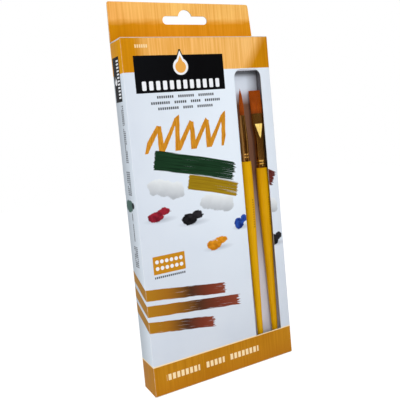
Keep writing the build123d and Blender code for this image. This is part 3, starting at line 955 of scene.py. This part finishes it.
def stretch_rim(sleeve, upward, chosen, distance):
    """Draws the chosen part of the sleeve's upper or lower rim up or down by a distance."""
    select_parts(
        sleeve, "FACE", lambda face, middle: face.normal.z * upward > 0.9 and chosen(middle)
    )
    bpy.ops.mesh.extrude_region_move(
        TRANSFORM_OT_translate={"value": (0, 0, upward * distance * MM)}
    )


def window_cutter():
    """The window's opening, with wide corners at its top and small ones at its foot."""
    window = block(
        "window_cutter",
        (window_left, -half_depth - overshoot, window_low),
        (window_right, -half_depth + overshoot, window_high),
    )
    open_edit(window)
    for at_top, corner in ((True, window_top_corner), (False, window_foot_corner)):
        round_edges(
            window,
            lambda edge, middle: runs_along(edge, 1) and (middle.z > carton_top / 2) == at_top,
            corner, 8,
        )
    close_edit()
    return window


def carton_sleeve():
    low = (-half_width, -half_depth, front_low[2])
    high = (half_width, half_depth, side_top)
    sleeve = block("carton_sleeve", low, high)
    open_edit(sleeve)
    select_parts(sleeve, "FACE", lambda face, middle: abs(face.normal.z) > 0.9)
    bpy.ops.mesh.delete(type="FACE")
    round_edges(sleeve, lambda edge, middle: runs_along(edge, 2), fold_radius, 4)
    close_edit()
    wall = sleeve.modifiers.new("wall", "SOLIDIFY")
    wall.thickness = card * MM
    wall.offset = -1
    apply_modifiers(sleeve)
    cut_away(sleeve, window_cutter())
    open_edit(sleeve)
    stretch_rim(sleeve, 1, lambda middle: middle.y < -half_depth + card, front_high[2] - side_top)
    stretch_rim(sleeve, 1, lambda middle: middle.y > half_depth - card, carton_top - side_top)
    stretch_rim(sleeve, -1, lambda middle: middle.y > -half_depth + card, front_low[2])
    close_edit()
    shade(sleeve, 50)
    wear(
        sleeve, front_print(), side_print("left_side_print"), back_print(), side_print("right_side_print"),
        board,
    )
    walls = (
        (Vector((0, -1, 0)), half_depth),
        (Vector((-1, 0, 0)), half_width),
        (Vector((0, 1, 0)), half_depth),
        (Vector((1, 0, 0)), half_width),
    )
    for face in sleeve.data.polygons:
        face.material_index = len(walls)
        for index, (outward, reach) in enumerate(walls):
            if face.normal.dot(outward) > 0.7 and face.center.dot(outward) / MM > reach - 0.3:
                face.material_index = index
    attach(sleeve, "carton")
    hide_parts("front_panel", "left_side_panel", "right_side_panel", "back_panel")


# Hang tab: the back panel's board doubled over, with the hanging slot

def slot_cutters():
    """The slot's round-ended bar, and the rounded bump above it."""
    half_length, half_height = slot_size[0] / 2, slot_size[1] / 2
    bar = block(
        "slot_cutter",
        (slot_middle[0] - half_length, tab_low[1] - overshoot, slot_middle[1] - half_height),
        (slot_middle[0] + half_length, half_depth + overshoot, slot_middle[1] + half_height),
    )
    open_edit(bar)
    round_edges(bar, lambda edge, middle: runs_along(edge, 1), half_height * 0.999, 12)
    close_edit()
    bump_radius = (slot_bump_half ** 2 + slot_bump_rise ** 2) / (2 * slot_bump_rise)
    bump_top = slot_middle[1] + half_height + slot_bump_rise
    bump_middle = (slot_middle[0], (tab_low[1] + half_depth) / 2, bump_top - bump_radius)
    nothing_selected()
    bpy.ops.mesh.primitive_cylinder_add(
        vertices=64,
        radius=bump_radius * MM,
        depth=bump_cutter_length * MM,
        location=[value * MM for value in bump_middle],
        rotation=(pi / 2, 0, 0),
    )
    bump = bpy.context.object
    settle(bump)
    open_edit(bump)
    bpy.ops.mesh.select_all(action="SELECT")
    bpy.ops.mesh.bisect(
        plane_co=(0, 0, slot_middle[1] * MM), plane_no=(0, 0, -1), clear_outer=True, use_fill=True
    )
    close_edit()
    return bar, bump


def hang_tab():
    tab = block("hang_tab", (-half_width, tab_low[1], carton_top), (half_width, half_depth, tab_top))

    def top_corner(edge, middle):
        return runs_along(edge, 1) and middle.z > (carton_top + tab_top) / 2

    open_edit(tab)
    for sign, taper in ((-1, tab_left_taper), (1, tab_right_taper)):
        select_parts(tab, "EDGE", lambda edge, middle: top_corner(edge, middle) and middle.x * sign > 0)
        bpy.ops.transform.translate(value=(-sign * taper * MM, 0, 0))
    round_edges(tab, top_corner, tab_corner, 6)
    round_edges(
        tab,
        lambda edge, middle: middle.z > tab_top - tab_corner - 0.1 and not runs_along(edge, 1),
        tab_edge_round, 3,
    )
    close_edit()
    cut_away(tab, *slot_cutters())
    shade(tab, 40)
    wear(tab, tab_print(), tab_edge())
    for face in tab.data.polygons:
        printed = abs(face.normal.y) > 0.3 or (face.normal.z > 0.5 and face.center.z / MM > tab_top - 1)
        face.material_index = 0 if printed else 1
    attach(tab, "carton")
    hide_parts("hang_tab_front")


# Ferrules. The flat brush lies turned a little towards the left, about its own axis.
flat_brush_turn = radians(-17.8)
round_axis = upright_axis("round_brush_ferrule")
flat_axis = upright_axis("flat_brush_ferrule")
ring_step = 2.2
ferrule_sides = 72
flat_radius = 4.05
facet_low, facet_high = 182.2, 193.6
mouth_half_long, mouth_half_short = 5.2, 2.2


def ringed_stations(base, radius, ring_depth):
    """The lower end of a ferrule: a rolled edge and two pressed rings."""
    stations = [(base, radius - 0.15), (base + 0.2, radius), (base + ring_step * 0.8, radius)]
    for ring in range(2):
        start = base + ring_step * (1 + ring)
        for share, sink in ((0.1, 0.25), (0.3, 0.9), (0.5, 1.0), (0.7, 0.9), (0.9, 0.25)):
            stations.append((start + share * ring_step * 0.7, radius - sink * ring_depth))
        stations.append((start + ring_step * 0.78, radius + 0.04))
    rings_end = base + ring_step * 3
    return stations + [(rings_end, radius), (rings_end + 0.3, radius)]


def round_ferrule():
    """A tube with rings that narrows to the hair, with a lip turned in at its mouth."""
    low, high = corners("round_brush_ferrule")
    base, top = low[2], high[2]
    radius = (high[0] - low[0]) / 2
    mouth = 2.2
    straight = 17.9
    stations = ringed_stations(base, radius, 0.32)
    stations += [(base + straight, radius), (base + straight + 0.3, radius)]
    stations += [(base + straight + 0.8, radius - 0.02)]
    stations += [(top - 0.4, mouth + 0.02), (top - 0.1, mouth + 0.01)]
    stations += [(top, mouth - 0.08), (top - 0.05, mouth - 0.26), (top - 3.0, mouth - 0.3)]
    piece = drawn_out("round_ferrule", round_axis, stations, ferrule_sides)
    shade(piece, 32)
    wear(piece, metal)
    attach(piece, "tray")
    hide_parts("round_brush_ferrule")


def facet_end(vertex):
    """Whether a vertex lies where the tube ends or where the flat mouth starts."""
    return any(abs(vertex.co.z / MM - level) < 0.05 for level in (facet_low, facet_high))


def facet_cap(face, middle):
    """Whether a face closes the tube's end or the mouth's start."""
    return abs(face.normal.z) > 0.9 and facet_low - 0.1 < middle.z < facet_high + 0.1


def bridge_facets(piece):
    """In edit mode, joins the round tube to the flat mouth by a tight skin with sharp facets."""
    select_parts(piece, "FACE", facet_cap)
    bpy.ops.mesh.delete(type="ONLY_FACE")
    select_parts(piece, "EDGE", lambda edge, middle: all(facet_end(vertex) for vertex in edge.verts))
    bpy.ops.mesh.convex_hull(
        delete_unused=False, use_existing_faces=False, make_holes=False, join_triangles=False
    )
    select_parts(piece, "FACE", facet_cap)
    bpy.ops.mesh.delete(type="ONLY_FACE")
    select_parts(
        piece, "FACE",
        lambda face, middle: facet_low < middle.z < facet_high and abs(face.normal.x) < 0.03,
    )
    bpy.ops.mesh.region_to_loop()
    bpy.ops.mesh.edge_split(type="EDGE")
    select_parts(
        piece, "EDGE",
        lambda edge, middle: all(abs(vertex.co.z / MM - facet_high) < 0.05 for vertex in edge.verts),
    )
    bpy.ops.mesh.edge_split(type="EDGE")
    facing_out()


def flat_ferrule():
    """A round tube pressed flat at its mouth, so that a three-cornered facet forms on each side."""
    low, high = corners("flat_brush_ferrule")
    stations = ringed_stations(low[2], flat_radius, 0.36)
    stations += [(facet_low - 0.3, flat_radius), (facet_low, flat_radius)]
    piece = drawn_out("flat_ferrule", flat_axis, stations, ferrule_sides)
    mouth = block(
        "mouth",
        (flat_axis[0] - mouth_half_long, flat_axis[1] - mouth_half_short, facet_high),
        (flat_axis[0] + mouth_half_long, flat_axis[1] + mouth_half_short, high[2]),
    )
    open_edit(mouth)
    round_edges(mouth, lambda edge, middle: runs_along(edge, 2), mouth_half_short * 0.98, 12)
    close_edit()
    take(mouth)
    piece.select_set(True)
    bpy.context.view_layer.objects.active = piece
    bpy.ops.object.join()
    open_edit(piece)
    bridge_facets(piece)
    close_edit()
    axis = Vector((flat_axis[0] * MM, flat_axis[1] * MM, 0))
    piece.matrix_world = (
        Matrix.Translation(axis) @ Matrix.Rotation(flat_brush_turn, 4, "Z") @ Matrix.Translation(-axis)
    )
    settle(piece)
    shade(piece, 32)
    wear(piece, metal)
    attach(piece, "tray")
    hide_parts("flat_brush_ferrule")


# Hair. A profile holds a half thickness at each share of the length, from the ferrule's mouth to the tip.
golden_turn = pi * (3 - sqrt(5))
hair_steps = 7
hair_sunk = 0.6
round_root = corners("round_brush_ferrule")[1][2]
flat_root = corners("flat_brush_ferrule")[1][2]
round_tip = corners("round_brush_bristles")[1][2]
flat_tip = corners("flat_brush_bristles")[1][2]
round_profile = ((0.0, 1.72), (0.3, 1.9), (0.7, 1.2), (0.9, 0.58), (1.0, 0.12))
flat_thin_profile = ((0.0, 1.3), (0.25, 1.35), (1.0, 0.42))
round_hairs = 420
flat_rows = 10
flat_columns = 56
flat_root_half, flat_top_half = 4.95, 4.75
flat_lean = 0.9


def hair(name, node, count, finish, place_at, thickness):
    """Separate hairs from a ferrule's mouth. place_at gives a hair's place at a share of its length."""
    curve = bpy.data.curves.new(name, "CURVE")
    curve.dimensions = "3D"
    curve.bevel_depth = thickness * MM
    curve.bevel_resolution = 0
    curve.use_fill_caps = True
    for number in range(count):
        line = curve.splines.new("POLY")
        line.points.add(hair_steps - 1)
        for step, point in enumerate(line.points):
            share = step / (hair_steps - 1)
            x, y, z = place_at(number, share)
            point.co = (x * MM, y * MM, z * MM, 1)
            point.radius = 1.0 - 0.72 * share ** 3
    piece = bpy.data.objects.new(name, curve)
    bpy.context.scene.collection.objects.link(piece)
    take(piece)
    bpy.ops.object.convert(target="MESH")
    piece = bpy.context.object
    wear(piece, finish)
    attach(piece, "tray")
    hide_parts(node)


def swelling(share, profile):
    """A value between the (share, value) points of a profile, eased from one to the next."""
    for (low, first), (high, second) in zip(profile, profile[1:]):
        if share <= high:
            part = (share - low) / (high - low)
            part = part * part * (3 - 2 * part)
            return first + (second - first) * part
    return profile[-1][1]


def round_hair_place(number, share):
    """Hairs spread in a spiral over the mouth, the outer ones shorter, all drawn in to a point."""
    out = sqrt((number + 0.5) / round_hairs)
    turn = number * golden_turn
    full = round_tip - round_root
    rise = share * (full * (1 - 0.16 * out * out - 0.02 * sin(number * 12.9)))
    reach = out * swelling(rise / full, round_profile)
    wander = 0.06 * sin(number * 3.7 + share * 3) * share
    x = round_axis[0] + reach * cos(turn) + wander
    y = round_axis[1] + reach * sin(turn) + wander
    return x, y, round_root - hair_sunk + rise + hair_sunk * share


def flat_hair_place(number, share):
    """Hairs in rows across the flat mouth, which lean a little to the left and end in a soft edge."""
    row = number % flat_rows
    column = number // flat_rows
    across = (column + 0.5 + 0.35 * sin(number * 2.3)) / flat_columns * 2 - 1
    deep = (row + 0.5) / flat_rows * 2 - 1
    root_half = flat_root_half * sqrt(1 - (0.8 * deep) ** 2)
    sideways = across * (root_half + (flat_top_half - root_half) * share) - flat_lean * share
    forward = deep * swelling(share, flat_thin_profile)
    x = flat_axis[0] + sideways * cos(flat_brush_turn) - forward * sin(flat_brush_turn)
    y = flat_axis[1] + sideways * sin(flat_brush_turn) + forward * cos(flat_brush_turn)
    length = flat_tip - flat_root - 0.35 * (0.5 + 0.5 * sin(number * 7.1)) - 0.25 * deep * deep
    return x, y, flat_root - hair_sunk + share * (length + hair_sunk)


# The new pieces
board = raw_board()
metal = ferrule_metal()
carton_sleeve()
hang_tab()
round_ferrule()
flat_ferrule()
round_finish = hair_finish("round_hair_finish", round_root, round_tip)
flat_finish = hair_finish("flat_hair_finish", flat_root, flat_tip)
hair("round_hair", "round_brush_bristles", round_hairs, round_finish, round_hair_place, 0.13)
hair("flat_hair", "flat_brush_bristles", flat_rows * flat_columns, flat_finish, flat_hair_place, 0.12)

# Finishes for the solid model's own pieces
lid_print_from = corners("lid")[1][2] - print_skin
foot_print_to = corners("bottom_lid")[0][2] + print_skin
# The lid's ochre is lightened by painted sheen, as on the top band
dress("lid", lid_board("lid_board", lid_print_from, 1.0, sheen_lit_ochre, ochre_mid))
dress(
    "bottom_lid", lid_board("bottom_lid_board", foot_print_to, -1.0, ochre_deep, ochre_deep_dark)
)
coated = coated_board()
for node in nodes:
    if "flap" in node:
        dress(node, coated)
dress("inner_tray", tray_plastic())
dress("round_brush_handle", lacquer("round_lacquer", 99.9, rgb(226, 172, 0), rgb(214, 154, 0)))
# The flat handle's lacquer is a darker copy of the round handle's: painted shade
dress("flat_brush_handle", lacquer("flat_lacquer", 115.2, rgb(216, 162, 0), rgb(196, 138, 0)))
cap_white = cap_finish()
for material in frame["record"]["materials"]:
    if material["slot"].startswith("paint_"):
        number = material["slot"][-2:]
        tint = tuple(material["base_color"]) + (1.0,)
        dress("tube_" + number, tube_finish(number, tint))
        dress("paint_" + number, paint_finish(number, tint))
        dress("cap_" + number, cap_white)

# Camera
forward = Vector(camera_forward)
up = Vector(camera_up)
right = forward.cross(up)
camera_data = bpy.data.cameras.new("camera")
camera = bpy.data.objects.new("camera", camera_data)
bpy.context.scene.collection.objects.link(camera)
turn = Matrix((right, up, -forward)).transposed().to_4x4()
camera.matrix_world = Matrix.Translation(Vector(camera_place) * MM) @ turn
camera_data.sensor_width = sensor_width
camera_data.lens = focal_pixels * sensor_width / image_size
camera_data.shift_x = (image_size / 2 - centre_column) / image_size
camera_data.shift_y = (centre_row - image_size / 2) / image_size
camera_data.clip_start = 0.01
bpy.context.scene.camera = camera

# Floor, in metres, which looks white to the camera and in reflections and still takes the object's shadow
floor_size = 2.4
floor_glow = 0.94
floor_grey = (0.9, 0.9, 0.9, 1)
shadow_grey = (0.25, 0.25, 0.25, 1)
nothing_selected()
bpy.ops.mesh.primitive_plane_add(size=floor_size, location=(0, 0, 0))
floor = bpy.context.object
floor.name = "floor"
floor_material = bpy.data.materials.new("floor")
ground = Graph(floor_material)
ground.tree.nodes.clear()
path = ground.node("LightPath").outputs
plain = ground.node("BsdfDiffuse", floor_grey)
shadowed = ground.node("BsdfDiffuse", shadow_grey)
glow = ground.node("Emission")
glow.inputs["Strength"].default_value = floor_glow
bright = ground.node("AddShader", shadowed.outputs[0], glow.outputs[0])
seen = ground.math("MAXIMUM", path["Is Camera Ray"], path["Is Glossy Ray"])
choose = ground.node("MixShader", seen, plain.outputs[0], bright.outputs[0])
ground.node("OutputMaterial", choose.outputs[0])
floor.data.materials.append(floor_material)

# World: white behind the object, soft even light on it, and in reflections a dim room with a soft patch
white = (1, 1, 1, 1)
soft_light_strength = 0.5
room_pale, room_dark = (0.85, 0.85, 0.87, 1), (0.14, 0.10, 0.07, 1)
patch_colour = (2.0, 2.7, 3.4, 1)
to_camera = (-0.17, -0.98, 0.08)
to_patch = (0.0, -0.961, 0.277)
patch_edge, patch_core = radians(13), radians(9)
world = bpy.data.worlds.new("studio")
bpy.context.scene.world = world
sky = Graph(world)
sky.tree.nodes.clear()
direction = sky.node("TexCoord").outputs["Generated"]


def facing(way):
    """How nearly a direction is the given way, as the cosine of the angle between them."""
    return sky.node("VectorMath", direction, way, operation="DOT_PRODUCT").outputs["Value"]


path = sky.node("LightPath").outputs
room_tone = sky.ramp(facing(to_camera), ((0.1, room_pale), (0.5, room_dark)))
patch = sky.node("MapRange", facing(to_patch), cos(patch_edge), cos(patch_core))
room = sky.node("Background", sky.mixed(patch.outputs[0], room_tone, patch_colour), 1.0)
soft_light = sky.node("Background", white, soft_light_strength)
backdrop = sky.node("Background", white, 1.0)
lighting = sky.node("MixShader", path["Is Glossy Ray"], soft_light.outputs[0], room.outputs[0])
shown = sky.node("MixShader", path["Is Camera Ray"], lighting.outputs[0], backdrop.outputs[0])
sky.node("OutputWorld", shown.outputs[0])


def lamp(name, place, target, size, power):
    """A square soft lamp, in metres and watts, that faces a target and isn't mirrored."""
    data = bpy.data.lights.new(name, "AREA")
    data.size = size
    data.energy = power
    light = bpy.data.objects.new(name, data)
    bpy.context.scene.collection.objects.link(light)
    light.location = place
    light.visible_glossy = False
    aim = Vector(target) - Vector(place)
    light.rotation_euler = aim.to_track_quat("-Z", "Y").to_euler()


lamp("key_lamp", (-0.6, -1.65, 0.79), (0, 0, 0.13), 0.9, 15.3)
lamp("fill_lamp", (-1.5, -0.45, 0.45), (-0.06, 0, 0.13), 0.5, 2.6)

bpy.context.scene.view_settings.view_transform = "Standard"
